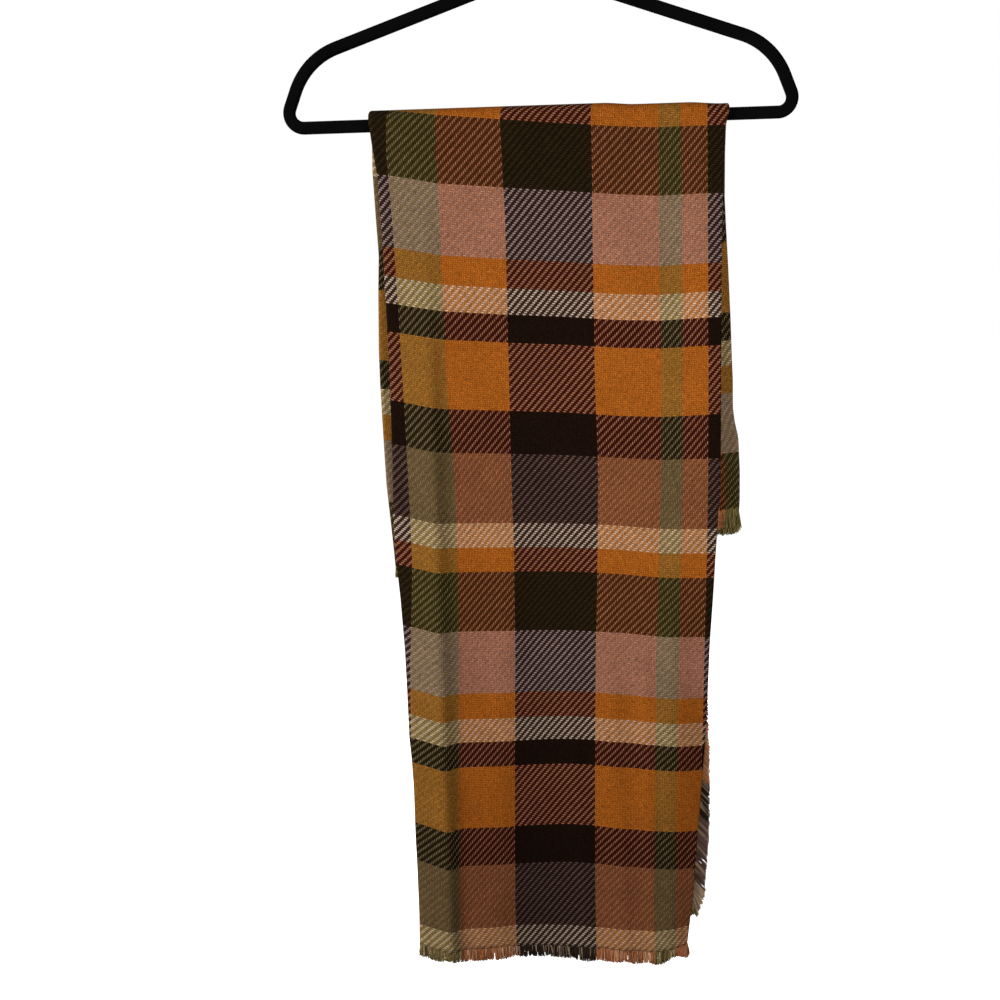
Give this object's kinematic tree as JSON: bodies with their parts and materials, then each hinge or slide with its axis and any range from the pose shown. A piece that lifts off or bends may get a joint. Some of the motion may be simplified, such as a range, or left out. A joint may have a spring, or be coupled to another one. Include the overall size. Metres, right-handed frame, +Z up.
{
  "type": "blanket scarf folded over a clothes hanger",
  "caption": "Plaid blanket scarf with a short fringe, folded lengthwise and hung over the bar of a slim hanger with a wire hook.",
  "frame": {"origin": "the inside top of the hanger's hook, where a rail carries it", "axes": "+X to the right as seen from the front, along the hanger's bar; +Y away from the viewer, from the long front drop to the short back drop; +Z up"},
  "size_m": [0.4454, 0.0296, 1.0043],
  "materials": {
    "flock": "fine black flock over plastic, matt",
    "hook_metal": "plain bright wire",
    "scarf_cloth": "brushed twill in orange, olive, black, pink and white plaid",
    "fringe_thread": "loose woolly threads in the stripe colours"
  },
  "bodies": {
    "root": {"hanger_frame": "flock", "hanger_collar": "hook_metal", "hanger_hook": "hook_metal", "front_outer": "scarf_cloth", "front_inner": "scarf_cloth", "back_outer": "scarf_cloth", "back_inner": "scarf_cloth", "front_hem_fringe": "fringe_thread", "front_inner_fringe": "fringe_thread", "front_rear_fringe": "fringe_thread", "front_side_fringe": "fringe_thread", "back_hem_fringe": "fringe_thread", "back_inner_fringe": "fringe_thread", "back_rear_fringe": "fringe_thread", "back_side_fringe": "fringe_thread"}
  },
  "joints": []
}
